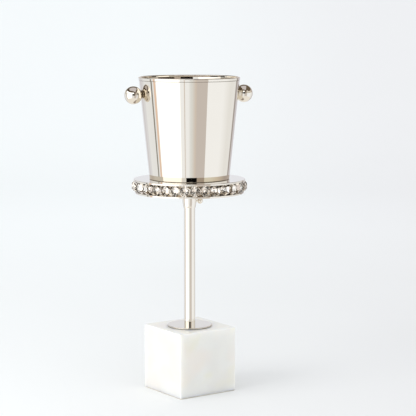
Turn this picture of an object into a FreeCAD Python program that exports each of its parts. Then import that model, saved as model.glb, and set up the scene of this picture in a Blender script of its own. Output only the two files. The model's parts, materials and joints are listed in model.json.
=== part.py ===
"""Champagne bucket on a pedestal stand: marble block, pole, jewelled tray and lift-off bucket.

Millimetres, +Z up. The origin is the centre of the felt pad's underside, on the floor.
X and Y run along the block's sides. The bucket stands on the tray turned a little about Z.
"""
import math
import os

import FreeCAD
import Part

V = FreeCAD.Vector
ORIGIN = V(0, 0, 0)
AXIS_X = V(1, 0, 0)
AXIS_Y = V(0, 1, 0)
AXIS_Z = V(0, 0, 1)

# Base: felt pad, marble block and what bolts the pole to it
PAD_SIDE = 140.6
PAD_CORNER_R = 2.0
PAD_THICK = 1.2
BLOCK_SIDE = 142.0
BLOCK_HEIGHT = 138.8
BLOCK_EDGE_R = 1.0
BLOCK_BORE_R = 5.5
RECESS_R = 17.0
RECESS_DEPTH = 24.0
FLANGE_R = 48.0
FLANGE_THICK = 3.2
FLANGE_EDGE_R = 0.8
FLANGE_BORE_R = 5.1
BOLT_R = 5.0
BOLT_HEAD_FLATS = 17.0
BOLT_HEAD_HEIGHT = 6.4
BOLT_SPARE = 5.0
WASHER_BORE_R = 5.25
WASHER_R = 15.0
WASHER_THICK = 2.5
LOCK_WASHER_R = 8.8
LOCK_WASHER_THICK = 2.2
LOCK_WASHER_GAP = 1.0

# Pole: a tube with a plug in each end
POLE_R = 12.0
POLE_WALL = 1.5
POLE_TOP_Z = 426.0
PLUG_LENGTH = 30.0

# Collar: the bell-shaped socket that carries the tray on the pole
COLLAR_BORE_R = 12.05
COLLAR_BOTTOM_Z = 397.7
COLLAR_LIP_R = 13.0
COLLAR_LIP_HEIGHT = 1.0
COLLAR_R = 15.0
COLLAR_BELL_HEIGHT = 17.0
COLLAR_BELL_FULLNESS = 0.75
SPIGOT_R = 8.0
SPIGOT_LENGTH = 17.0
COLLAR_NUT_FLATS = 24.0
COLLAR_NUT_HEIGHT = 8.0
COLLAR_WASHER_R = 16.0
COLLAR_WASHER_THICK = 1.6

# Tray: two plates with the ring of stones between them
TRAY_TOP_Z = 460.5
PLATE_THICK = 4.0
PLATE_EDGE_R = 0.8
TOP_PLATE_R = 119.5
BOTTOM_PLATE_R = 117.0
POST_R = 6.0
POST_CIRCLE_R = 75.0
POST_COUNT = 4
SCREW_R = 2.5
SCREW_CLEAR_R = 2.75
SCREW_HEAD_R = 4.75
SCREW_HEAD_HEIGHT = 3.0
SCREW_HEAD_EDGE_R = 1.5
SCREW_LENGTH = 16.0

# Stones: eight-sided faceted crystals, standing on edge all round the tray
STONE_COUNT = 32
STONE_SIDES = 8
STONE_FLATS = 22.4
STONE_RING_R = 114.3
STONE_GIRDLE = 1.0
CROWN_MID_R = 9.7
CROWN_MID_HEIGHT = 5.6
TABLE_R = 5.4
TABLE_HEIGHT = 9.3
CULET_R = 2.0
CULET_DEPTH = 9.0
BAND_R = 110.0
BAND_WALL = 2.0

# Thumbscrew: ball-headed screw through the collar, with a swivelling pad on its end
THUMB_Z = 410.5
THUMB_HOLE_R = 2.55
THUMB_BALL_R = 6.4
THUMB_BALL_X = 27.3
THUMB_SHANK_END_X = 22.0
TIP_FACE_X = 12.1
TIP_THICK = 1.3
TIP_R = 2.2
TIP_PEG_R = 1.0
TIP_PEG_LENGTH = 2.0
TIP_SOCKET_R = 1.05
TIP_SOCKET_DEPTH = 2.2

# Bucket: tapered single wall with a rolled rim band and a thin foot pad
BUCKET_TURN = -15.5
WALL_FOOT_R = 85.6
WALL_TOP_R = 108.0
RIM_TOP_Z = 678.0
WALL_THICK = 1.2
FLOOR_THICK = 1.5
FOOT_PAD_R = 82.0
FOOT_PAD_THICK = 0.4
FOOT_CORNER_R = 0.8
FOOT_INNER_R = 0.3
RIM_HEIGHT = 6.8
RIM_INNER_HEIGHT = 4.6
RIM_INNER_R = 103.6
RIM_STEP_R = 106.8
RIM_EDGE_R = 2.0
RIM_LOWER_R = 0.5
WALL_END_Z = 674.0
RIM_GROOVE_R = 106.6
RIM_GROOVE_HEIGHT = 0.8

# Handles: a ball close to the wall, on a short neck with a small seat plate under it
HANDLE_Z = 642.6
HANDLE_REACH = 19.8
BALL_R = 19.0
NECK_R = 6.5
SEAT_R = 9.0
SEAT_BACK = -1.5
SEAT_FACE = 0.8
SEAT_EDGE_R = 0.4
HANDLE_WASHER_R = 6.5
HANDLE_WASHER_THICK = 1.0
HANDLE_SCREW_REACH = 18.0

BLOCK_TOP_Z = PAD_THICK + BLOCK_HEIGHT
POLE_FOOT_Z = BLOCK_TOP_Z + FLANGE_THICK
RECESS_TOP_Z = PAD_THICK + RECESS_DEPTH
STONES_TOP_Z = TRAY_TOP_Z - PLATE_THICK
STONES_FOOT_Z = STONES_TOP_Z - STONE_FLATS
TRAY_FOOT_Z = STONES_FOOT_Z - PLATE_THICK
BUCKET_FLOOR_Z = TRAY_TOP_Z + FOOT_PAD_THICK
WALL_TAPER = (WALL_TOP_R - WALL_FOOT_R) / (RIM_TOP_Z - TRAY_TOP_Z)
WALL_TILT = math.degrees(math.atan(WALL_TAPER))


def edge_between(here, step):
    """Edge from a point to the next outline step, and the point it ends on."""
    if isinstance(step[0], tuple):
        through, end = step
        there = V(end[0], 0, end[1])
        return Part.Arc(here, V(through[0], 0, through[1]), there).toShape(), there
    there = V(step[0], 0, step[1])
    return Part.makeLine(here, there), there


def lathe(start, *steps):
    """Solid turned about Z from a closed outline of (radius, height) points.

    A step is a point, or a pair of points for an arc through the first to the second.
    """
    edges = []
    here = V(start[0], 0, start[1])
    for step in steps + (start,):
        edge, here = edge_between(here, step)
        edges.append(edge)
    return Part.Face(Part.Wire(edges)).revolve(ORIGIN, AXIS_Z, 360)


def ring(inner_r, outer_r, foot_z, top_z):
    """Plain round sleeve or washer about Z."""
    return lathe((inner_r, foot_z), (outer_r, foot_z), (outer_r, top_z), (inner_r, top_z))


def rod(radius, foot_z, top_z):
    """Plain round bar along Z."""
    return Part.makeCylinder(radius, top_z - foot_z, V(0, 0, foot_z))


def hexagon(flats, foot_z, height):
    """Six-sided prism about Z, such as a bolt head or a nut."""
    corner_r = flats / math.sqrt(3)
    angles = [math.radians(60 * i) for i in range(7)]
    points = [V(corner_r * math.cos(a), corner_r * math.sin(a), foot_z) for a in angles]
    return Part.Face(Part.makePolygon(points)).extrude(V(0, 0, height))


def around(shape, count, first_angle):
    """Compound of copies of a shape spaced evenly about Z."""
    copies = []
    for i in range(count):
        copy = shape.copy()
        copy.rotate(ORIGIN, AXIS_Z, first_angle + i * 360.0 / count)
        copies.append(copy)
    return Part.makeCompound(copies)


def rounded_disc(radius, foot_z, top_z, edge_r, bore_r):
    """Flat plate with rounded rim edges and a centre hole (none when bore_r is 0)."""
    soft = edge_r * (1 - math.sqrt(0.5))
    outline = [
        (radius - edge_r, foot_z),
        ((radius - soft, foot_z + soft), (radius, foot_z + edge_r)),
        (radius, top_z - edge_r),
        ((radius - soft, top_z - soft), (radius - edge_r, top_z)),
        (bore_r, top_z),
    ]
    return lathe((bore_r, foot_z), *outline)


# ---------------------------------------------------------------- base

def felt_pad():
    half = PAD_SIDE / 2
    pad = Part.makeBox(PAD_SIDE, PAD_SIDE, PAD_THICK, V(-half, -half, 0))
    corners = [e for e in pad.Edges if abs(e.tangentAt(e.FirstParameter).z) > 0.9]
    return pad.makeFillet(PAD_CORNER_R, corners)


def marble_block():
    half = BLOCK_SIDE / 2
    block = Part.makeBox(BLOCK_SIDE, BLOCK_SIDE, BLOCK_HEIGHT, V(-half, -half, PAD_THICK))
    block = block.makeFillet(BLOCK_EDGE_R, block.Edges)
    block = block.cut(rod(BLOCK_BORE_R, PAD_THICK, BLOCK_TOP_Z))
    return block.cut(rod(RECESS_R, PAD_THICK, RECESS_TOP_Z))


def base_flange():
    return rounded_disc(FLANGE_R, BLOCK_TOP_Z, POLE_FOOT_Z, FLANGE_EDGE_R, FLANGE_BORE_R)


def base_washer():
    return ring(WASHER_BORE_R, WASHER_R, RECESS_TOP_Z - WASHER_THICK, RECESS_TOP_Z)


def base_lock_washer():
    """Spring washer: a ring with a narrow split on its +X side."""
    top_z = RECESS_TOP_Z - WASHER_THICK
    foot_z = top_z - LOCK_WASHER_THICK
    split = Part.makeBox(LOCK_WASHER_R, LOCK_WASHER_GAP, LOCK_WASHER_THICK,
                         V(0, -LOCK_WASHER_GAP / 2, foot_z))
    return ring(WASHER_BORE_R, LOCK_WASHER_R, foot_z, top_z).cut(split)


def base_bolt():
    """Hex-head bolt from the recess, up through block and flange into the pole's plug."""
    head_top = RECESS_TOP_Z - WASHER_THICK - LOCK_WASHER_THICK
    head = hexagon(BOLT_HEAD_FLATS, head_top - BOLT_HEAD_HEIGHT, BOLT_HEAD_HEIGHT)
    shank = rod(BOLT_R, head_top, POLE_FOOT_Z + PLUG_LENGTH - BOLT_SPARE)
    return head.fuse(shank).removeSplitter()


# ---------------------------------------------------------------- pole

def pole_tube():
    return ring(POLE_R - POLE_WALL, POLE_R, POLE_FOOT_Z, POLE_TOP_Z)


def pole_foot_plug():
    return ring(BOLT_R, POLE_R - POLE_WALL, POLE_FOOT_Z, POLE_FOOT_Z + PLUG_LENGTH)


def pole_top_plug():
    return rod(POLE_R - POLE_WALL, POLE_TOP_Z - PLUG_LENGTH, POLE_TOP_Z)


# ---------------------------------------------------------------- tray

def collar():
    """Bell socket over the pole, with a spigot up through the bottom plate."""
    lip_z = COLLAR_BOTTOM_Z + COLLAR_LIP_HEIGHT
    shoulder_z = COLLAR_BOTTOM_Z + COLLAR_BELL_HEIGHT
    bulge = (COLLAR_LIP_R + COLLAR_BELL_FULLNESS * (COLLAR_R - COLLAR_LIP_R), (lip_z + shoulder_z) / 2)
    body = lathe((0, POLE_TOP_Z), (COLLAR_BORE_R, POLE_TOP_Z), (COLLAR_BORE_R, COLLAR_BOTTOM_Z),
                 (COLLAR_LIP_R, COLLAR_BOTTOM_Z), (COLLAR_LIP_R, lip_z),
                 (bulge, (COLLAR_R, shoulder_z)), (COLLAR_R, TRAY_FOOT_Z),
                 (SPIGOT_R, TRAY_FOOT_Z), (SPIGOT_R, TRAY_FOOT_Z + SPIGOT_LENGTH),
                 (0, TRAY_FOOT_Z + SPIGOT_LENGTH))
    screw_hole = Part.makeCylinder(THUMB_HOLE_R, COLLAR_R, V(POLE_R / 2, 0, THUMB_Z), AXIS_X)
    return body.cut(screw_hole)


def collar_washer():
    return ring(SPIGOT_R, COLLAR_WASHER_R, STONES_FOOT_Z, STONES_FOOT_Z + COLLAR_WASHER_THICK)


def collar_nut():
    foot_z = STONES_FOOT_Z + COLLAR_WASHER_THICK
    nut = hexagon(COLLAR_NUT_FLATS, foot_z, COLLAR_NUT_HEIGHT)
    return nut.cut(rod(SPIGOT_R, foot_z, foot_z + COLLAR_NUT_HEIGHT))


def at_posts(shape):
    """One copy of a shape at each tray post, between the block's sides."""
    shape.translate(V(POST_CIRCLE_R, 0, 0))
    return around(shape, POST_COUNT, 180.0 / POST_COUNT)


def tray_bottom_plate():
    plate = rounded_disc(BOTTOM_PLATE_R, TRAY_FOOT_Z, STONES_FOOT_Z, PLATE_EDGE_R, SPIGOT_R)
    return plate.cut(at_posts(rod(SCREW_CLEAR_R, TRAY_FOOT_Z, STONES_FOOT_Z)))


def tray_posts():
    return at_posts(ring(SCREW_R, POST_R, STONES_FOOT_Z, STONES_TOP_Z))


def pan_screw(seat_z, end_z):
    """Pan-head screw pointing up, with its head under the seat height."""
    head_z = seat_z - SCREW_HEAD_HEIGHT
    soft = SCREW_HEAD_EDGE_R * (1 - math.sqrt(0.5))
    return lathe((0, head_z), (SCREW_HEAD_R - SCREW_HEAD_EDGE_R, head_z),
                 ((SCREW_HEAD_R - soft, head_z + soft),
                  (SCREW_HEAD_R, head_z + SCREW_HEAD_EDGE_R)),
                 (SCREW_HEAD_R, seat_z), (SCREW_R, seat_z), (SCREW_R, end_z), (0, end_z))


def tray_screws():
    return at_posts(pan_screw(TRAY_FOOT_Z, TRAY_FOOT_Z + SCREW_LENGTH))


def tray_top_plate():
    return rounded_disc(TOP_PLATE_R, STONES_TOP_Z, TRAY_TOP_Z, PLATE_EDGE_R, 0)


# ---------------------------------------------------------------- stones

def stone_ring(height, radius, steps):
    """Corner points of one level of a stone along +X, turned by a number of its sides."""
    points = []
    for i in range(STONE_SIDES):
        angle = 2 * math.pi * (i + steps) / STONE_SIDES
        points.append(V(STONE_RING_R + height, radius * math.cos(angle), radius * math.sin(angle)))
    return points


def facet_strip(lower, upper):
    """Triangles between two levels whose corners are staggered by half a step."""
    faces = []
    for i in range(STONE_SIDES):
        after = (i + 1) % STONE_SIDES
        faces.append([lower[i], lower[after], upper[i]])
        faces.append([lower[after], upper[after], upper[i]])
    return faces


def flat_strip(lower, upper):
    """Rectangles between two levels whose corners are in line."""
    return [[lower[i], lower[(i + 1) % STONE_SIDES], upper[(i + 1) % STONE_SIDES], upper[i]]
            for i in range(STONE_SIDES)]


def stone():
    """One faceted crystal with its table facing +X and a flat of its girdle upwards."""
    middle_z = (STONES_FOOT_Z + STONES_TOP_Z) / 2
    corner_r = STONE_FLATS / 2 / math.cos(math.pi / STONE_SIDES)
    half_girdle = STONE_GIRDLE / 2
    culet = stone_ring(-CULET_DEPTH, CULET_R, 0)
    girdle_back = stone_ring(-half_girdle, corner_r, 0.5)
    girdle_front = stone_ring(half_girdle, corner_r, 0.5)
    crown = stone_ring(CROWN_MID_HEIGHT, CROWN_MID_R, 1)
    table = stone_ring(TABLE_HEIGHT, TABLE_R, 1.5)
    outlines = [culet, table]
    outlines += facet_strip(culet, girdle_back)
    outlines += flat_strip(girdle_back, girdle_front)
    outlines += facet_strip(girdle_front, crown)
    outlines += facet_strip(crown, table)
    faces = [Part.Face(Part.makePolygon(points + points[:1])) for points in outlines]
    solid = Part.Solid(Part.Shell(faces))
    solid.translate(V(0, 0, middle_z))
    return solid


def crystals():
    return around(stone(), STONE_COUNT, 180.0 / STONE_COUNT)


def crystal_band():
    """Carrier strip between the plates, with a seat cut for the back of each stone."""
    return ring(BAND_R - BAND_WALL, BAND_R, STONES_FOOT_Z, STONES_TOP_Z).cut(crystals())


# ---------------------------------------------------------------- thumbscrew

def thumbscrew():
    shank = Part.makeCylinder(SCREW_R, THUMB_SHANK_END_X - TIP_FACE_X - TIP_THICK,
                              V(TIP_FACE_X + TIP_THICK, 0, THUMB_Z), AXIS_X)
    ball = Part.makeSphere(THUMB_BALL_R, V(THUMB_BALL_X, 0, THUMB_Z))
    socket = Part.makeCylinder(TIP_SOCKET_R, TIP_SOCKET_DEPTH,
                               V(TIP_FACE_X + TIP_THICK, 0, THUMB_Z), AXIS_X)
    return shank.fuse(ball).cut(socket)


def thumbscrew_tip():
    pad = Part.makeCylinder(TIP_R, TIP_THICK, V(TIP_FACE_X, 0, THUMB_Z), AXIS_X)
    peg = Part.makeCylinder(TIP_PEG_R, TIP_PEG_LENGTH, V(TIP_FACE_X + TIP_THICK, 0, THUMB_Z), AXIS_X)
    return pad.fuse(peg).removeSplitter()


# ---------------------------------------------------------------- bucket

def wall_r(height):
    """Radius of the bucket wall's outside at a height."""
    return WALL_FOOT_R + WALL_TAPER * (height - TRAY_TOP_Z)


def corner_step(flat_r, foot_z, radius, inset):
    """Rounded corner from the floor up into the wall, for the outside or an inset inside."""
    end = (wall_r(foot_z + radius) - inset, foot_z + radius)
    bulge = radius * (math.sqrt(0.5) - 0.5)
    through = ((flat_r + end[0]) / 2 + bulge, foot_z + radius / 2 - bulge)
    return through, end


def plain_shell():
    """Bucket wall and floor in one, before the handle holes are drilled."""
    outer_flat_r = wall_r(BUCKET_FLOOR_Z) - FOOT_CORNER_R
    inner_z = BUCKET_FLOOR_Z + FLOOR_THICK
    inner_flat_r = wall_r(inner_z) - WALL_THICK - FOOT_INNER_R
    inner_through, inner_end = corner_step(inner_flat_r, inner_z, FOOT_INNER_R, WALL_THICK)
    return lathe((0, BUCKET_FLOOR_Z), (outer_flat_r, BUCKET_FLOOR_Z),
                 corner_step(outer_flat_r, BUCKET_FLOOR_Z, FOOT_CORNER_R, 0),
                 (wall_r(WALL_END_Z), WALL_END_Z), (wall_r(WALL_END_Z) - WALL_THICK, WALL_END_Z),
                 inner_end, (inner_through, (inner_flat_r, inner_z)), (0, inner_z))


def bucket_rim_band():
    """Rolled band round the mouth, seated over the top of the wall, shallower on the inside."""
    foot_z = RIM_TOP_Z - RIM_HEIGHT
    inner_foot_z = RIM_TOP_Z - RIM_INNER_HEIGHT
    soft = RIM_EDGE_R * (1 - math.sqrt(0.5))
    soft_low = RIM_LOWER_R * (1 - math.sqrt(0.5))
    band = lathe(
        (RIM_INNER_R, inner_foot_z + RIM_LOWER_R),
        ((RIM_INNER_R + soft_low, inner_foot_z + soft_low),
         (RIM_INNER_R + RIM_LOWER_R, inner_foot_z)),
        (RIM_STEP_R, inner_foot_z), (RIM_STEP_R, foot_z), (WALL_TOP_R - RIM_LOWER_R, foot_z),
        ((WALL_TOP_R - soft_low, foot_z + soft_low), (WALL_TOP_R, foot_z + RIM_LOWER_R)),
        (WALL_TOP_R, RIM_TOP_Z - RIM_EDGE_R),
        ((WALL_TOP_R - soft, RIM_TOP_Z - soft), (WALL_TOP_R - RIM_EDGE_R, RIM_TOP_Z)),
        (RIM_INNER_R + RIM_EDGE_R, RIM_TOP_Z),
        ((RIM_INNER_R + soft, RIM_TOP_Z - soft), (RIM_INNER_R, RIM_TOP_Z - RIM_EDGE_R)))
    return band.cut(plain_shell())


def bucket_foot_pad():
    return rod(FOOT_PAD_R, TRAY_TOP_Z, BUCKET_FLOOR_Z)


# ---------------------------------------------------------------- handles

def onto_wall(shape, side_angle):
    """Place a handle part, built up Z from the wall's outside, at one side of the bucket."""
    shape.rotate(ORIGIN, AXIS_Y, 90 + WALL_TILT)
    shape.translate(V(wall_r(HANDLE_Z), 0, HANDLE_Z))
    shape.rotate(ORIGIN, AXIS_Z, side_angle)
    return shape


def wall_cone(inset):
    """Everything within the bucket wall's outer face, or inset from it, near the handles."""
    low_z = HANDLE_Z - 2 * SEAT_R
    high_z = HANDLE_Z + 2 * SEAT_R
    return Part.makeCone(wall_r(low_z) - inset, wall_r(high_z) - inset, high_z - low_z,
                         V(0, 0, low_z))


def handle_plate(side_angle):
    """Small seat plate between the wall and the neck, its back shaped to the wall."""
    plate = rounded_disc(SEAT_R, SEAT_BACK, SEAT_FACE, SEAT_EDGE_R, SCREW_CLEAR_R)
    return onto_wall(plate, side_angle).cut(wall_cone(0))


def handle_neck(side_angle):
    """Short sleeve from the seat plate to the ball, hollowed at its end to fit the ball."""
    neck = ring(SCREW_CLEAR_R, NECK_R, SEAT_FACE, HANDLE_REACH - BALL_R / 2)
    return onto_wall(neck.cut(Part.makeSphere(BALL_R, V(0, 0, HANDLE_REACH))), side_angle)


def handle_ball(side_angle):
    ball = Part.makeSphere(BALL_R, V(0, 0, HANDLE_REACH))
    return onto_wall(ball.cut(rod(SCREW_R, 0, HANDLE_SCREW_REACH)), side_angle)


def handle_screw(side_angle):
    """Pan-head screw from inside the bucket, out through the wall into the ball."""
    screw = pan_screw(-WALL_THICK - HANDLE_WASHER_THICK, HANDLE_SCREW_REACH)
    return onto_wall(screw, side_angle)


def handle_washer(side_angle):
    """Washer under the screw's head, its outer face shaped to the curved wall."""
    washer = ring(SCREW_CLEAR_R, HANDLE_WASHER_R, -WALL_THICK - HANDLE_WASHER_THICK, 0)
    return onto_wall(washer, side_angle).common(wall_cone(WALL_THICK))


def bucket_shell():
    """Bucket wall and floor, with a fine groove round it just below the rim band."""
    groove_top = RIM_TOP_Z - RIM_HEIGHT
    groove_foot = groove_top - RIM_GROOVE_HEIGHT
    shell = plain_shell().cut(ring(RIM_GROOVE_R, WALL_TOP_R, groove_foot, groove_top))
    for side_angle in (0, 180):
        hole = rod(SCREW_CLEAR_R, -2 * WALL_THICK, WALL_THICK)
        shell = shell.cut(onto_wall(hole, side_angle))
    return shell


def turned(shape):
    """The bucket's parts as they stand on the tray, turned about Z."""
    shape.rotate(ORIGIN, AXIS_Z, BUCKET_TURN)
    return shape


def build():
    parts = {
        "base_felt_pad": felt_pad(),
        "marble_block": marble_block(),
        "base_flange": base_flange(),
        "base_washer": base_washer(),
        "base_lock_washer": base_lock_washer(),
        "base_bolt": base_bolt(),
        "pole_tube": pole_tube(),
        "pole_foot_plug": pole_foot_plug(),
        "pole_top_plug": pole_top_plug(),
        "collar": collar(),
        "collar_washer": collar_washer(),
        "collar_nut": collar_nut(),
        "tray_bottom_plate": tray_bottom_plate(),
        "tray_posts": tray_posts(),
        "tray_screws": tray_screws(),
        "tray_top_plate": tray_top_plate(),
        "crystal_band": crystal_band(),
        "crystals": crystals(),
        "thumbscrew": thumbscrew(),
        "thumbscrew_tip": thumbscrew_tip(),
        "bucket_shell": turned(bucket_shell()),
        "bucket_rim_band": turned(bucket_rim_band()),
        "bucket_foot_pad": turned(bucket_foot_pad()),
    }
    for side, side_angle in (("right", 0), ("left", 180)):
        parts[side + "_handle_plate"] = turned(handle_plate(side_angle))
        parts[side + "_handle_neck"] = turned(handle_neck(side_angle))
        parts[side + "_handle_ball"] = turned(handle_ball(side_angle))
        parts[side + "_handle_screw"] = turned(handle_screw(side_angle))
        parts[side + "_handle_washer"] = turned(handle_washer(side_angle))
    return parts


os.makedirs("parts", exist_ok=True)
for name, shape in build().items():
    print(name, len(shape.Solids), shape.isValid(), round(shape.Volume, 1))
    shape.exportStep("parts/" + name + ".step")
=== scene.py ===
"""Looks of the champagne bucket stand: materials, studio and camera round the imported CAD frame."""
import json
import math

import bpy
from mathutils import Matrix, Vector


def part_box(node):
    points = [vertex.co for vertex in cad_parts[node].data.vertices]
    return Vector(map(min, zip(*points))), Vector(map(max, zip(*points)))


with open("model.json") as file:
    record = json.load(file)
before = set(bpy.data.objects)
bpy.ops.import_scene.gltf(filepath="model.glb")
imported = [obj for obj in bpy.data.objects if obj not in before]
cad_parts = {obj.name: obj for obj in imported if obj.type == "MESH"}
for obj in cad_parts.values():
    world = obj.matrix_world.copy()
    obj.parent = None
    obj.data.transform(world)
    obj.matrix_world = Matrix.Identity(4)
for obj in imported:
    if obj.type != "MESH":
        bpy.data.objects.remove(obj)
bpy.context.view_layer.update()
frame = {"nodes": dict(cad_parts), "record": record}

# Camera: how far and high it stands, which side it looks from, and where it aims
CAMERA_DISTANCE = 3.2603
CAMERA_HEIGHT = 0.8132
CAMERA_SIDE = math.radians(34.08)
CAMERA_PAN = math.radians(0.70)
CAMERA_PITCH = math.radians(7.28)
CAMERA_LENS = 132.42
SENSOR_WIDTH = 36.0
CAMERA_CLIP = 50.0

# The stones' backs are foiled up to this far outside the band that carries them
FOIL_REACH = 0.0036
FOIL_FADE = 0.0001

# Narrow bands of painted shade: the floor of the groove under the bucket's rim, and the foot of the
# flange's edge. Each is measured from the lower outer edge of a node: its lowest and highest place
# above that edge, then its nearest and farthest place outside it, negative for below or inside.
SHADE_BANDS = {
    "bucket_shell": ("bucket_rim_band", (-0.0009, 0.0001), (-0.0016, -0.0012)),
    "base_flange": ("base_flange", (-0.0010, 0.0013), (-0.0015, 0.0005)),
}
# Colour of the painted shade in those bands
PAINTED_SHADE_TINT = (0.22, 0.19, 0.16, 1)

# Two tones of each material, which its own pattern goes between
NICKEL = ((0.745, 0.695, 0.615, 1), (0.775, 0.73, 0.655, 1))
STEEL = ((0.50, 0.49, 0.47, 1), (0.66, 0.65, 0.63, 1))
MARBLE = ((0.84, 0.835, 0.80, 1), (0.80, 0.79, 0.755, 1))
MARBLE_BLUSH = (0.85, 0.79, 0.73, 1)
MARBLE_OCHRE = (0.82, 0.80, 0.69, 1)
CRYSTAL = ((1.0, 0.985, 0.96, 1), (1.0, 0.965, 0.915, 1))
SETTING = ((0.20, 0.155, 0.10, 1), (0.44, 0.35, 0.25, 1))
# The handles' necks: both tones darkened as painted shade
NECK_SHADE = ((0.08, 0.065, 0.045, 1), (0.22, 0.18, 0.13, 1))
FELT = ((0.52, 0.47, 0.38, 1), (0.68, 0.63, 0.53, 1))
BRASS = ((0.62, 0.44, 0.19, 1), (0.78, 0.60, 0.30, 1))
MILKY_DEPTH = (0.020, 0.019, 0.016)
CRYSTAL_INDEX = 1.32


# ---------------------------------------------------------------- places from the frame

def outer_radius(name):
    """Distance from the stand's axis to the outside of a round node."""
    _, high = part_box(name)
    return max(high[0], high[1])


def shade_band_places(edge_node, rise, reach):
    """Lowest and highest place of a band of painted shade, and its nearest and farthest from the axis.
    """
    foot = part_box(edge_node)[0][2]
    outside = outer_radius(edge_node)
    return [foot + step for step in rise], [outside + step for step in reach]


# ---------------------------------------------------------------- material helpers

def material(name):
    """A new node material: its tree and its Principled shader."""
    made = bpy.data.materials.new(name)
    made.use_nodes = True
    tree = made.node_tree
    return made, tree, tree.nodes["Principled BSDF"]


def place_of(tree):
    """Position on the object, in metres."""
    return tree.nodes.new("ShaderNodeTexCoord").outputs["Object"]


def shifted(tree, vector, amount):
    """The same place moved along all three axes, for a pattern of its own."""
    node = tree.nodes.new("ShaderNodeVectorMath")
    node.operation = "ADD"
    node.inputs[1].default_value = (amount, amount, amount)
    tree.links.new(vector, node.inputs[0])
    return node.outputs["Vector"]


def distance_from_axis(tree, vector):
    """Distance from the stand's upright axis, in metres."""
    flat = tree.nodes.new("ShaderNodeVectorMath")
    flat.operation = "MULTIPLY"
    flat.inputs[1].default_value = (1, 1, 0)
    tree.links.new(vector, flat.inputs[0])
    length = tree.nodes.new("ShaderNodeVectorMath")
    length.operation = "LENGTH"
    tree.links.new(flat.outputs["Vector"], length.inputs[0])
    return length.outputs["Value"]


def calculated(tree, operation, first, second):
    """A sum or comparison of two numbers or sockets."""
    node = tree.nodes.new("ShaderNodeMath")
    node.operation = operation
    for socket, value in zip(node.inputs, (first, second)):
        if isinstance(value, float):
            socket.default_value = value
        else:
            tree.links.new(value, socket)
    return node.outputs["Value"]


def within(tree, value, low, high):
    """1 where the value is between low and high, 0 elsewhere."""
    above = calculated(tree, "GREATER_THAN", value, low)
    below = calculated(tree, "LESS_THAN", value, high)
    return calculated(tree, "MULTIPLY", above, below)


def in_band(tree, vector, heights, distances):
    """1 in a ring round the stand's axis, between two heights and two distances."""
    split = tree.nodes.new("ShaderNodeSeparateXYZ")
    tree.links.new(vector, split.inputs["Vector"])
    level = within(tree, split.outputs["Z"], *heights)
    away = within(tree, distance_from_axis(tree, vector), *distances)
    return calculated(tree, "MULTIPLY", level, away)


def noise(tree, vector, scale, detail=3.0, distortion=0.0):
    node = tree.nodes.new("ShaderNodeTexNoise")
    node.inputs["Scale"].default_value = scale
    node.inputs["Detail"].default_value = detail
    node.inputs["Distortion"].default_value = distortion
    tree.links.new(vector, node.inputs["Vector"])
    return node.outputs["Fac"]


def spread(tree, value, low, high, to_low, to_high):
    """Value remapped from one range to another, held at the ends."""
    node = tree.nodes.new("ShaderNodeMapRange")
    node.interpolation_type = "SMOOTHSTEP"
    tree.links.new(value, node.inputs["Value"])
    for key, number in (("From Min", low), ("From Max", high), ("To Min", to_low), ("To Max", to_high)):
        node.inputs[key].default_value = number
    return node.outputs["Result"]


def blended(tree, share, first, second):
    """Colour going from the first to the second as share goes from 0 to 1."""
    node = tree.nodes.new("ShaderNodeMix")
    node.data_type = "RGBA"
    tree.links.new(share, node.inputs["Factor"])
    for key, colour in ((6, first), (7, second)):
        if isinstance(colour, tuple):
            node.inputs[key].default_value = colour
        else:
            tree.links.new(colour, node.inputs[key])
    return node.outputs[2]


def bump(tree, shader, height, strength, distance):
    node = tree.nodes.new("ShaderNodeBump")
    node.inputs["Strength"].default_value = strength
    node.inputs["Distance"].default_value = distance
    tree.links.new(height, node.inputs["Height"])
    tree.links.new(node.outputs["Normal"], shader.inputs["Normal"])


# ---------------------------------------------------------------- materials

def polished_nickel(name="polished_nickel", band=None):
    """Mirror nickel, with painted shade in a narrow band where the node has one."""
    made, tree, shader = material(name)
    place = place_of(tree)
    tint = blended(tree, noise(tree, place, 9.0), *NICKEL)
    if band:
        # Painted shade inside the band
        tint = blended(tree, in_band(tree, place, *band), tint, PAINTED_SHADE_TINT)
    smear = noise(tree, place, 38.0, 5.0, 0.6)
    tree.links.new(tint, shader.inputs["Base Color"])
    tree.links.new(spread(tree, smear, 0.35, 0.75, 0.012, 0.05), shader.inputs["Roughness"])
    shader.inputs["Metallic"].default_value = 1.0
    bump(tree, shader, noise(tree, place, 14.0, 1.0), 0.03, 0.002)
    return made


def plated_steel():
    made, tree, shader = material("plated_steel")
    place = place_of(tree)
    turned = noise(tree, place, 420.0, 4.0)
    tree.links.new(blended(tree, turned, *STEEL), shader.inputs["Base Color"])
    tree.links.new(spread(tree, turned, 0.3, 0.7, 0.22, 0.38), shader.inputs["Roughness"])
    shader.inputs["Metallic"].default_value = 1.0
    bump(tree, shader, turned, 0.2, 0.0002)
    return made


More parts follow.
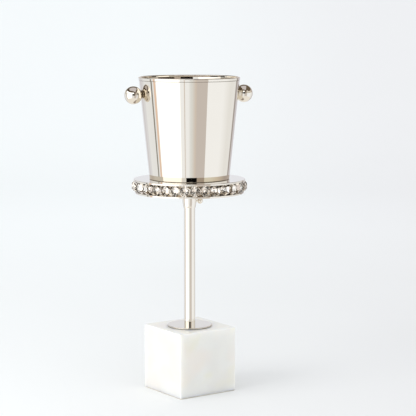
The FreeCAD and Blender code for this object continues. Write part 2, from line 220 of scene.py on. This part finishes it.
def white_marble():
    """Milky honed stone with faint warm clouds, under a thin polish."""
    made, tree, shader = material("white_marble")
    place = place_of(tree)
    cloud = spread(tree, noise(tree, place, 11.0, 3.0, 0.3), 0.35, 0.68, 0.0, 1.0)
    stone = blended(tree, cloud, *MARBLE)
    blush = spread(tree, noise(tree, shifted(tree, place, 0.7), 13.0, 1.5, 0.2), 0.50, 0.72, 0.0, 0.6)
    stone = blended(tree, blush, stone, MARBLE_BLUSH)
    ochre = spread(tree, noise(tree, shifted(tree, place, 3.1), 15.0, 2.0, 0.3), 0.52, 0.74, 0.0, 0.6)
    stone = blended(tree, ochre, stone, MARBLE_OCHRE)
    tree.links.new(stone, shader.inputs["Base Color"])
    tree.links.new(spread(tree, cloud, 0.0, 1.0, 0.30, 0.40), shader.inputs["Roughness"])
    shader.inputs["Subsurface Weight"].default_value = 0.9
    shader.inputs["Subsurface Radius"].default_value = MILKY_DEPTH
    shader.inputs["Subsurface Scale"].default_value = 1.0
    shader.inputs["Coat Weight"].default_value = 0.5
    shader.inputs["Coat Roughness"].default_value = 0.06
    bump(tree, shader, noise(tree, place, 60.0, 3.0), 0.02, 0.0004)
    return made


def crystal_glass():
    """Clear stones with foil on their backs: mirror-like inside the girdle, glass outside it."""
    made, tree, shader = material("crystal_glass")
    place = place_of(tree)
    foil_r = outer_radius("crystal_band") + FOIL_REACH
    foil = spread(tree, distance_from_axis(tree, place), foil_r, foil_r + FOIL_FADE, 1.0, 0.0)
    tree.links.new(foil, shader.inputs["Metallic"])
    haze = spread(tree, noise(tree, place, 90.0), 0.3, 0.7, 0.02, 0.06)
    tree.links.new(haze, shader.inputs["Roughness"])
    tree.links.new(blended(tree, foil, *CRYSTAL), shader.inputs["Base Color"])
    shader.inputs["Transmission Weight"].default_value = 1.0
    shader.inputs["IOR"].default_value = CRYSTAL_INDEX
    return made


# Metal darker than the nickel, mottled between two tones; the handles' necks use it with tones of
# painted shade
def setting_metal(name="setting_metal", tones=SETTING):
    made, tree, shader = material(name)
    place = place_of(tree)
    mottle = noise(tree, place, 120.0, 4.0)
    tree.links.new(blended(tree, mottle, *tones), shader.inputs["Base Color"])
    tree.links.new(spread(tree, mottle, 0.3, 0.7, 0.18, 0.34), shader.inputs["Roughness"])
    shader.inputs["Metallic"].default_value = 1.0
    return made


def pressed_felt():
    made, tree, shader = material("pressed_felt")
    place = place_of(tree)
    fibre = noise(tree, place, 900.0, 5.0, 1.2)
    tree.links.new(blended(tree, fibre, *FELT), shader.inputs["Base Color"])
    shader.inputs["Roughness"].default_value = 0.95
    shader.inputs["Sheen Weight"].default_value = 0.3
    bump(tree, shader, fibre, 0.5, 0.0004)
    return made


def turned_brass():
    made, tree, shader = material("turned_brass")
    place = place_of(tree)
    turned = noise(tree, place, 800.0, 3.0)
    tree.links.new(blended(tree, turned, *BRASS), shader.inputs["Base Color"])
    tree.links.new(spread(tree, turned, 0.3, 0.7, 0.18, 0.3), shader.inputs["Roughness"])
    shader.inputs["Metallic"].default_value = 1.0
    return made


SLOT_LOOKS = {
    "polished_nickel": polished_nickel,
    "plated_steel": plated_steel,
    "marble": white_marble,
    "crystal": crystal_glass,
    "setting_metal": setting_metal,
    "felt": pressed_felt,
    "brass": turned_brass,
}


def dress_nodes():
    """Give every CAD node the look of its material slot."""
    looks = {slot: make() for slot, make in SLOT_LOOKS.items()}
    for part in frame["record"]["subparts"]:
        node = frame["nodes"][part["node"]]
        for holder in node.material_slots:
            holder.material = looks[part["material_slot"]]
    # Painted shade in the groove under the rim and at the foot of the flange's edge
    for name, places in SHADE_BANDS.items():
        shade_banded = polished_nickel(name + "_nickel", shade_band_places(*places))
        frame["nodes"][name].material_slots[0].material = shade_banded
    # The handles' necks take a darker metal as painted shade
    neck_painted_shade = setting_metal("neck_painted_shade", NECK_SHADE)
    for side in ("left", "right"):
        frame["nodes"][side + "_handle_neck"].material_slots[0].material = neck_painted_shade


# ---------------------------------------------------------------- studio

# Floor tones: painted shade near the object and towards the camera's right
FLOOR_NEAR_SHADED = (0.85, 0.865, 0.87, 1)
FLOOR_FAR = (0.95, 0.975, 0.98, 1)
FLOOR_RIGHT_SHADE = (0.93, 0.905, 0.91, 1)
NEAR_FADE = (0.3, 3.0)
RIGHT_FADE = (-0.4, 1.2)
FLOOR_FLAT_R = 4.0
FLOOR_STEPS = 96
SWEEP_R = 2.0
SWEEP_TOP = 4.5
SWEEP_STEPS = 12
TABLE_R = 1.2
DRUM_R = 3.3
CARD_R = 3.2
WALL_STEP = 6.0
CAMERA_ANGLE = -math.pi / 2 - CAMERA_SIDE


def turned_sheet(name, outline):
    """Surface turned once round Z from (radius, height) points."""
    points = []
    faces = []
    for i in range(FLOOR_STEPS + 1):
        angle = 2 * math.pi * i / FLOOR_STEPS
        points += [(r * math.cos(angle), r * math.sin(angle), z) for r, z in outline]
    row = len(outline)
    for i in range(FLOOR_STEPS):
        for j in range(row - 1):
            here = i * row + j
            faces.append((here, here + row, here + row + 1, here + 1))
    mesh = bpy.data.meshes.new(name)
    mesh.from_pydata(points, [], faces)
    for face in mesh.polygons:
        face.use_smooth = True
    sheet = bpy.data.objects.new(name, mesh)
    bpy.context.scene.collection.objects.link(sheet)
    return sheet


def seen_by(sheet, camera=False, diffuse=False, glossy=False, transmission=False, shadow=False):
    sheet.visible_camera = camera
    sheet.visible_diffuse = diffuse
    sheet.visible_glossy = glossy
    sheet.visible_transmission = transmission
    sheet.visible_shadow = shadow


def floor_paint():
    """Pale paper with painted shade: a little darker near the object and towards the camera's right."""
    made, tree, shader = material("floor_paint")
    place = place_of(tree)
    near = spread(tree, distance_from_axis(tree, place), *NEAR_FADE, 0.0, 1.0)
    paper = blended(tree, near, FLOOR_NEAR_SHADED, FLOOR_FAR)
    side = tree.nodes.new("ShaderNodeVectorMath")
    side.operation = "DOT_PRODUCT"
    side.inputs[1].default_value = (math.cos(CAMERA_SIDE), -math.sin(CAMERA_SIDE), 0)
    tree.links.new(place, side.inputs[0])
    right = spread(tree, side.outputs["Value"], *RIGHT_FADE, 0.0, 1.0)
    shade = blended(tree, right, (1, 1, 1, 1), FLOOR_RIGHT_SHADE)
    both = tree.nodes.new("ShaderNodeMix")
    both.data_type = "RGBA"
    both.blend_type = "MULTIPLY"
    both.inputs["Factor"].default_value = 1.0
    tree.links.new(paper, both.inputs[6])
    tree.links.new(shade, both.inputs[7])
    tree.links.new(both.outputs[2], shader.inputs["Base Color"])
    grain = noise(tree, place, 3.0)
    tree.links.new(spread(tree, grain, 0.3, 0.7, 0.85, 0.95), shader.inputs["Roughness"])
    return made


def build_floor():
    paint = floor_paint()
    table = turned_sheet("floor_near", [(0.0, 0.0), (TABLE_R, 0.0)])
    table.data.materials.append(paint)
    seen_by(table, camera=True, diffuse=True, shadow=True)
    outline = [(TABLE_R, 0.0), (FLOOR_FLAT_R, 0.0)]
    for i in range(1, SWEEP_STEPS + 1):
        angle = math.pi / 2 * i / SWEEP_STEPS
        outline.append((FLOOR_FLAT_R + SWEEP_R * math.sin(angle), SWEEP_R * (1 - math.cos(angle))))
    outline.append((FLOOR_FLAT_R + SWEEP_R, SWEEP_TOP))
    sweep = turned_sheet("floor_sweep", outline)
    sweep.data.materials.append(paint)
    seen_by(sweep, camera=True)


# Surroundings that only the metal and the stones see: light they give, as red, green, blue
SOFTBOX = (1.9, 1.9, 1.9)
BACKDROP = (0.87, 0.89, 0.95)
SIDE_WALL = (1.01, 1.05, 1.10)
PALE_WALL = (0.90, 0.93, 0.94)
LIT_WALL = (1.10, 1.14, 1.20)
CREAM_WALL = (1.15, 1.19, 1.25)
FAR_WALL = (1.00, 1.02, 1.04)
TAUPE_CURTAIN = (0.72, 0.67, 0.65)
TAN_EDGE = (0.80, 0.72, 0.66)
PEACH_EDGE = (0.99, 0.73, 0.58)
DARK_STAND = (0.33, 0.32, 0.29)
MAUVE_EDGE = (0.46, 0.42, 0.41)
MAUVE_WALL = (0.70, 0.68, 0.72)
CEILING = (0.72, 0.69, 0.72)
DARK_BEAM = (0.075, 0.06, 0.045)
BROWN_LOFT = (0.17, 0.13, 0.09)
PALE_FLOOR = (1.06, 1.03, 0.98)
CAMERA_BLACK = (0.004, 0.004, 0.004)
HIGH_BACK = (0.70, 0.66, 0.62)
HIGH_SIDE = (0.84, 0.83, 0.80)
HIGH_TAUPE = (0.56, 0.49, 0.43)
HIGH_CREAM = (1.05, 1.04, 0.95)
HIGH_TAN = (0.92, 0.85, 0.75)
HIGH_DIM = (0.60, 0.54, 0.52)

# Lights: one soft panel to the left, wide light from above the camera, and an even pale sky
KEY_PLACE = (-2.6, 0.1, 1.3)
KEY_TARGET = (0, 0, 0.25)
KEY_SIDE = 1.8
KEY_POWER = 32.0
KEY_COLOUR = (1.0, 0.99, 0.97)
OVERHEAD_STRENGTH = 0.16
OVERHEAD_SPREAD = math.radians(35)
OVERHEAD_ELEVATION = math.radians(64)
SKY_COLOUR = (0.965, 0.985, 1.0, 1)
SKY_STRENGTH = 0.925

# Rings of walls, lowest first. Angles are degrees from the camera's direction, positive to its
# right; a step where an angle repeats is a hard edge, and anything else is a gradual change.
RING_LOW = -1.5
RING_HIGH = 0.92
RING_STOPS = [
    (-180, BACKDROP), (-152, BACKDROP), (-150, MAUVE_WALL), (-138, BACKDROP), (-132, BACKDROP),
    (-126, SIDE_WALL), (-99, SIDE_WALL), (-99, DARK_STAND), (-95, DARK_STAND), (-94, SIDE_WALL),
    (-90, SIDE_WALL), (-89, PEACH_EDGE), (-85, PEACH_EDGE), (-83, SIDE_WALL), (-80, SOFTBOX),
    (-24, SOFTBOX), (-20, LIT_WALL), (-12, LIT_WALL), (-12, TAN_EDGE), (-10, TAN_EDGE),
    (-10, LIT_WALL), (-2, LIT_WALL), (4, PALE_WALL), (6, PALE_WALL), (15, TAN_EDGE),
    (19, TAUPE_CURTAIN), (43, TAUPE_CURTAIN), (43, CREAM_WALL), (86, CREAM_WALL),
    (112, FAR_WALL), (134, FAR_WALL), (136, MAUVE_EDGE), (144, MAUVE_EDGE), (146, MAUVE_WALL),
    (166, MAUVE_WALL), (170, BACKDROP), (180, BACKDROP),
]
UPPER_HIGH = 2.0
UPPER_STOPS = [
    (-180, HIGH_BACK), (-130, HIGH_BACK), (-112, HIGH_SIDE), (-81, HIGH_SIDE), (-80, SOFTBOX),
    (-24, SOFTBOX), (-20, LIT_WALL), (-5, LIT_WALL), (1, PALE_WALL), (6, PALE_WALL),
    (15, HIGH_TAUPE), (43, HIGH_TAUPE), (43, HIGH_CREAM), (60, HIGH_CREAM), (84, HIGH_TAN),
    (120, HIGH_DIM), (150, HIGH_DIM), (180, HIGH_BACK),
]
TOP_HIGH = 3.1
TOP_STOPS = [
    (-180, BROWN_LOFT), (-118, DARK_BEAM), (-112, DARK_BEAM), (-110, SOFTBOX), (10, SOFTBOX),
    (12, DARK_BEAM), (22, BROWN_LOFT), (60, TAN_EDGE), (72, DARK_BEAM), (90, BROWN_LOFT),
    (180, BROWN_LOFT),
]
LOFT_HIGH = 4.0
LOFT_STOPS = [
    (-180, BROWN_LOFT), (-125, DARK_BEAM), (20, DARK_BEAM), (40, BROWN_LOFT), (180, BROWN_LOFT),
]

# Cards in front of the walls: angles, heights, colour
CARDS = {
    "camera_card": ((-9.0, 21.0), (0.62, 1.75), CAMERA_BLACK),
    "near_shelf": ((36.0, 62.0), (1.02, 1.24), DARK_BEAM),
    "far_shelf": ((62.0, 80.0), (0.94, 1.15), DARK_BEAM),
}
CEILING_CORNERS = [(-1.6, -1.2), (0.8, -1.3), (1.2, 2.0), (-1.4, 0.8)]
CEILING_Z = 2.7


def glow_material(name):
    """Gives off the light painted on the mesh."""
    made = bpy.data.materials.new(name)
    made.use_nodes = True
    tree = made.node_tree
    tree.nodes.clear()
    paint = tree.nodes.new("ShaderNodeVertexColor")
    paint.layer_name = "light"
    lamp = tree.nodes.new("ShaderNodeEmission")
    tree.links.new(paint.outputs["Color"], lamp.inputs["Color"])
    out = tree.nodes.new("ShaderNodeOutputMaterial")
    tree.links.new(lamp.outputs["Emission"], out.inputs["Surface"])
    return made


def glowing(name, points, faces, colours, look):
    """Surface that lights up reflections only, with a colour of light at each point."""
    mesh = bpy.data.meshes.new(name)
    mesh.from_pydata(points, [], faces)
    light = mesh.color_attributes.new("light", "FLOAT_COLOR", "POINT")
    for dot, colour in zip(light.data, colours):
        dot.color = colour + (1.0,)
    mesh.materials.append(look)
    sheet = bpy.data.objects.new(name, mesh)
    bpy.context.scene.collection.objects.link(sheet)
    seen_by(sheet, glossy=True, transmission=True)


def wall_ring(name, radius, low, high, stops, look):
    """Upright wall round the object, painted between stops of (angle, colour)."""
    points = []
    colours = []
    faces = []
    for (start, first), (end, second) in zip(stops, stops[1:]):
        steps = math.ceil((end - start) / WALL_STEP)
        for i in range(steps):
            corner = len(points)
            for share in (i / steps, (i + 1) / steps):
                angle = CAMERA_ANGLE + math.radians(start + (end - start) * share)
                colour = tuple(a + (b - a) * share for a, b in zip(first, second))
                for z in (low, high):
                    points.append((radius * math.cos(angle), radius * math.sin(angle), z))
                    colours.append(colour)
            faces.append((corner, corner + 2, corner + 3, corner + 1))
    glowing(name, points, faces, colours, look)


def seen_from_camera(right, ahead, z):
    """Point given to the camera's right and towards it, as a point in the scene."""
    towards = Vector((-math.sin(CAMERA_SIDE), -math.cos(CAMERA_SIDE), 0))
    sideways = Vector((math.cos(CAMERA_SIDE), -math.sin(CAMERA_SIDE), 0))
    return tuple(towards * ahead + sideways * right + Vector((0, 0, z)))


def build_surroundings():
    look = glow_material("surroundings")
    wall_ring("ring", DRUM_R, RING_LOW, RING_HIGH, RING_STOPS, look)
    wall_ring("upper_ring", DRUM_R, RING_HIGH, UPPER_HIGH, UPPER_STOPS, look)
    wall_ring("top_ring", DRUM_R, UPPER_HIGH, TOP_HIGH, TOP_STOPS, look)
    wall_ring("loft", DRUM_R, TOP_HIGH, LOFT_HIGH, LOFT_STOPS, look)
    for name, (angles, heights, colour) in CARDS.items():
        wall_ring(name, CARD_R, *heights, [(angle, colour) for angle in angles], look)
    ceiling = [seen_from_camera(*corner, CEILING_Z) for corner in CEILING_CORNERS]
    glowing("ceiling", ceiling, [(0, 1, 2, 3)], [CEILING] * 4, look)
    reach = DRUM_R * 2
    for name, z, colour in (("floor_glow", RING_LOW, PALE_FLOOR), ("roof", LOFT_HIGH, BROWN_LOFT)):
        corners = [(-reach, -reach, z), (reach, -reach, z), (reach, reach, z), (-reach, reach, z)]
        glowing(name, corners, [(0, 1, 2, 3)], [colour] * 4, look)


def build_world():
    world = bpy.data.worlds.new("studio")
    bpy.context.scene.world = world
    world.use_nodes = True
    sky = world.node_tree.nodes["Background"]
    sky.inputs["Color"].default_value = SKY_COLOUR
    sky.inputs["Strength"].default_value = SKY_STRENGTH


def aimed(lamp, towards):
    """Turn a lamp so that it shines along a direction."""
    lamp.rotation_mode = "QUATERNION"
    lamp.rotation_quaternion = Vector(towards).to_track_quat("-Z", "Y")
    bpy.context.scene.collection.objects.link(lamp)
    seen_by(lamp, diffuse=True)


def key_light():
    """Large soft panel to the left."""
    data = bpy.data.lights.new("key_left", "AREA")
    data.size = KEY_SIDE
    data.energy = KEY_POWER
    data.color = KEY_COLOUR
    lamp = bpy.data.objects.new("key_left", data)
    lamp.location = KEY_PLACE
    aimed(lamp, Vector(KEY_TARGET) - Vector(KEY_PLACE))


def overhead_light():
    """Wide soft light from above the camera."""
    data = bpy.data.lights.new("overhead", "SUN")
    data.energy = OVERHEAD_STRENGTH
    data.angle = OVERHEAD_SPREAD
    lamp = bpy.data.objects.new("overhead", data)
    aimed(lamp, seen_from_camera(0, -math.cos(OVERHEAD_ELEVATION), -math.sin(OVERHEAD_ELEVATION)))


def build_camera():
    data = bpy.data.cameras.new("camera")
    data.lens = CAMERA_LENS
    data.sensor_width = SENSOR_WIDTH
    data.clip_end = CAMERA_CLIP
    camera = bpy.data.objects.new("camera", data)
    bpy.context.scene.collection.objects.link(camera)
    heading = CAMERA_SIDE + CAMERA_PAN
    ahead = Vector((math.sin(heading) * math.cos(CAMERA_PITCH),
                    math.cos(heading) * math.cos(CAMERA_PITCH),
                    -math.sin(CAMERA_PITCH)))
    camera.location = (-CAMERA_DISTANCE * math.sin(CAMERA_SIDE),
                       -CAMERA_DISTANCE * math.cos(CAMERA_SIDE), CAMERA_HEIGHT)
    camera.rotation_mode = "QUATERNION"
    camera.rotation_quaternion = ahead.to_track_quat("-Z", "Y")
    bpy.context.scene.camera = camera


dress_nodes()
build_world()
build_floor()
build_surroundings()
key_light()
overhead_light()
build_camera()
bpy.context.scene.view_settings.view_transform = "Standard"
